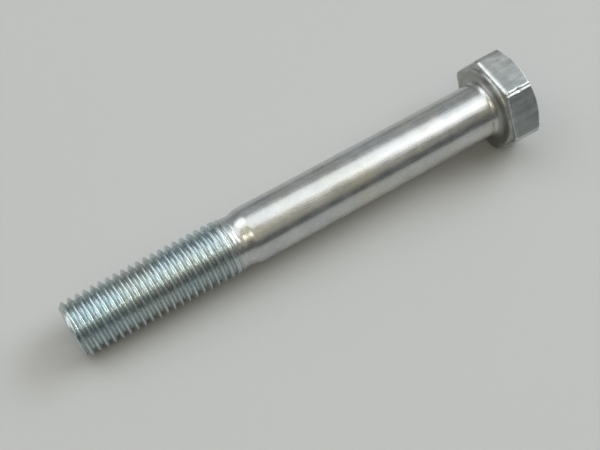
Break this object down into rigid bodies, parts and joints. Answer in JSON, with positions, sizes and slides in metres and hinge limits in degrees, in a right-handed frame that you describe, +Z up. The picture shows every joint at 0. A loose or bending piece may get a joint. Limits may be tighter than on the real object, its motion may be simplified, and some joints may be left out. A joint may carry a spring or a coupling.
{
  "type": "hex bolt",
  "caption": "Zinc plated hexagon head bolt with a washer face, a plain shank and a fine right-hand thread, lying on its side.",
  "frame": {"origin": "middle of the bolt's outline, on the surface that it lies on", "axes": "+X along the bolt towards the head, +Z up; the bolt rests on one flat of the head and on the thread near the tip, so its own axis rises about 2.1 degrees towards the head"},
  "size_m": [0.0688, 0.014, 0.0126],
  "materials": {
    "zinc_plate": "clear zinc plating on steel, satin, with faint drawn lines along the shank"
  },
  "bodies": {
    "root": {"bolt": "zinc_plate"}
  },
  "joints": []
}
